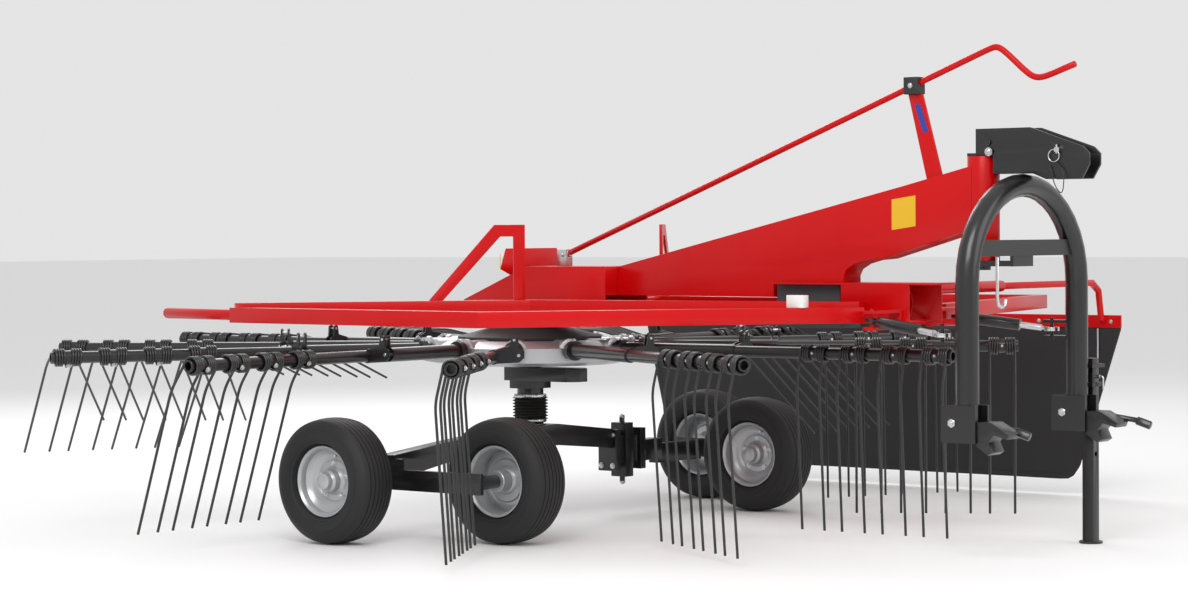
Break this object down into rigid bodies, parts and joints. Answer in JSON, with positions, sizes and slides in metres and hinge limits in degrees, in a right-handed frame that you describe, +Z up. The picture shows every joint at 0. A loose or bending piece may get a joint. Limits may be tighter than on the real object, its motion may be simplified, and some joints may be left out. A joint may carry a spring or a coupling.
{
  "type": "single-rotor rotary hay rake",
  "caption": "Three-point mounted single-rotor swath rake with tandem wheels, swivelling headstock, guard rails, side curtain, height crank and parking stand.",
  "frame": {"origin": "on the ground under the middle of the machine's outline", "axes": "+X forward to the tractor, +Y to the machine's left, where the curtain is, +Z up"},
  "size_m": [4.0087, 3.6262, 1.6006],
  "materials": {
    "red_paint": "semi-gloss powder coat",
    "black_paint": "semi-gloss powder coat",
    "dark_plastic": "matt moulded plastic",
    "silver_paint": "silver wheel enamel",
    "zinc_steel": "zinc plated",
    "grey_iron": "painted casting",
    "tyre_rubber": "ribbed black rubber",
    "curtain_cloth": "black coated curtain cloth",
    "reflector_white": "white lens"
  },
  "bodies": {
    "chassis": {"main_beam": "red_paint", "gearbox_frame": "red_paint", "front_frame": "red_paint", "pto_guard": "red_paint", "guard_right": "red_paint", "guard_left": "red_paint", "hoop_right": "red_paint", "hoop_left": "red_paint", "sign_plate": "red_paint", "height_crank": "red_paint", "crank_post": "red_paint", "carrier_socket_rear": "red_paint", "carrier_socket_front": "red_paint", "rocker_right": "black_paint", "rocker_left": "black_paint", "axle_beam": "black_paint", "tilt_bracket": "black_paint", "axle_arm": "black_paint", "column": "black_paint", "crank_guide": "dark_plastic", "crank_joint": "zinc_steel", "gearbox": "grey_iron", "drive_housing": "grey_iron", "reflector": "reflector_white"},
    "rotor": {"rotor_hub": "silver_paint", "rotor_cover": "dark_plastic", "tine_arm_01": "black_paint", "tine_arm_02": "black_paint", "tine_arm_03": "black_paint", "tine_arm_04": "black_paint", "tine_arm_05": "black_paint", "tine_arm_06": "black_paint", "tine_arm_07": "black_paint", "tine_arm_08": "black_paint", "tine_arm_09": "black_paint", "tine_arm_10": "black_paint", "tine_arm_11": "black_paint", "tine_arm_12": "black_paint"},
    "headstock": {"headstock": "black_paint", "top_link_bracket": "black_paint", "lower_catch_right": "black_paint", "lower_catch_left": "black_paint", "latch_hook": "zinc_steel"},
    "stand": {"parking_stand": "black_paint"},
    "strut_tube_right": {"strut_tube_right": "black_paint"},
    "strut_tube_left": {"strut_tube_left": "black_paint"},
    "strut_rod_right": {"strut_rod_right": "zinc_steel"},
    "strut_rod_left": {"strut_rod_left": "zinc_steel"},
    "curtain": {"curtain": "curtain_cloth", "curtain_rail": "red_paint"},
    "pto": {"pto_stub": "zinc_steel"},
    "wheel_right_rear": {"tyre_right_rear": "tyre_rubber", "rim_right_rear": "silver_paint"},
    "wheel_right_front": {"tyre_right_front": "tyre_rubber", "rim_right_front": "silver_paint"},
    "wheel_left_rear": {"tyre_left_rear": "tyre_rubber", "rim_left_rear": "silver_paint"},
    "wheel_left_front": {"tyre_left_front": "tyre_rubber", "rim_left_front": "silver_paint"}
  },
  "joints": [
    {"name": "rotor_spin", "type": "hinge", "parent": "chassis", "child": "rotor", "pos_m": [-0.271, -0.092, 0.6113], "axis": [0, 0, 1], "continuous": true},
    {"name": "pto_spin", "type": "hinge", "parent": "chassis", "child": "pto", "pos_m": [1.303, -0.092, 0.784], "axis": [1, 0, 0], "continuous": true},
    {"name": "wheel_right_rear_spin", "type": "hinge", "parent": "chassis", "child": "wheel_right_rear", "pos_m": [-0.249, -1.1164, 0.2075], "axis": [0, 1, 0], "continuous": true},
    {"name": "wheel_right_front_spin", "type": "hinge", "parent": "chassis", "child": "wheel_right_front", "pos_m": [0.217, -0.7956, 0.2075], "axis": [0, 1, 0], "continuous": true},
    {"name": "wheel_left_rear_spin", "type": "hinge", "parent": "chassis", "child": "wheel_left_rear", "pos_m": [-0.249, 0.9324, 0.2075], "axis": [0, 1, 0], "continuous": true},
    {"name": "wheel_left_front_spin", "type": "hinge", "parent": "chassis", "child": "wheel_left_front", "pos_m": [0.217, 0.6116, 0.2075], "axis": [0, 1, 0], "continuous": true},
    {"name": "headstock_swivel", "type": "hinge", "parent": "chassis", "child": "headstock", "pos_m": [1.606, -0.092, 1.248], "axis": [0, 0, 1], "range_deg": [-12, 12]},
    {"name": "stand_slide", "type": "slide", "parent": "headstock", "child": "stand", "axis": [0, 0, 1], "range_m": [0, 0.3]},
    {"name": "curtain_slide", "type": "slide", "parent": "chassis", "child": "curtain", "axis": [0, 1, 0], "range_m": [0, 0.2]},
    {"name": "strut_right_hinge", "type": "hinge", "parent": "chassis", "child": "strut_tube_right", "pos_m": [1.349, -0.3445, 0.734], "axis": [0, 0, 1], "range_deg": [-8, 8]},
    {"name": "strut_right_slide", "type": "slide", "parent": "strut_tube_right", "child": "strut_rod_right", "axis": [0.963, -0.2407, -0.1212], "range_m": [-0.068, 0.068]},
    {"name": "strut_left_hinge", "type": "hinge", "parent": "chassis", "child": "strut_tube_left", "pos_m": [1.349, 0.1605, 0.734], "axis": [0, 0, 1], "range_deg": [-8, 8]},
    {"name": "strut_left_slide", "type": "slide", "parent": "strut_tube_left", "child": "strut_rod_left", "axis": [0.963, 0.2407, -0.1212], "range_m": [-0.068, 0.068]}
  ],
  "couplings": [
    {"joint": "pto_spin", "follows": "rotor_spin", "ratio": 9},
    {"joint": "strut_right_hinge", "follows": "headstock_swivel", "ratio": 0.4114},
    {"joint": "strut_right_slide", "follows": "headstock_swivel", "m_per_rad": 0.3096},
    {"joint": "strut_left_hinge", "follows": "headstock_swivel", "ratio": 0.4114},
    {"joint": "strut_left_slide", "follows": "headstock_swivel", "m_per_rad": -0.3096}
  ]
}
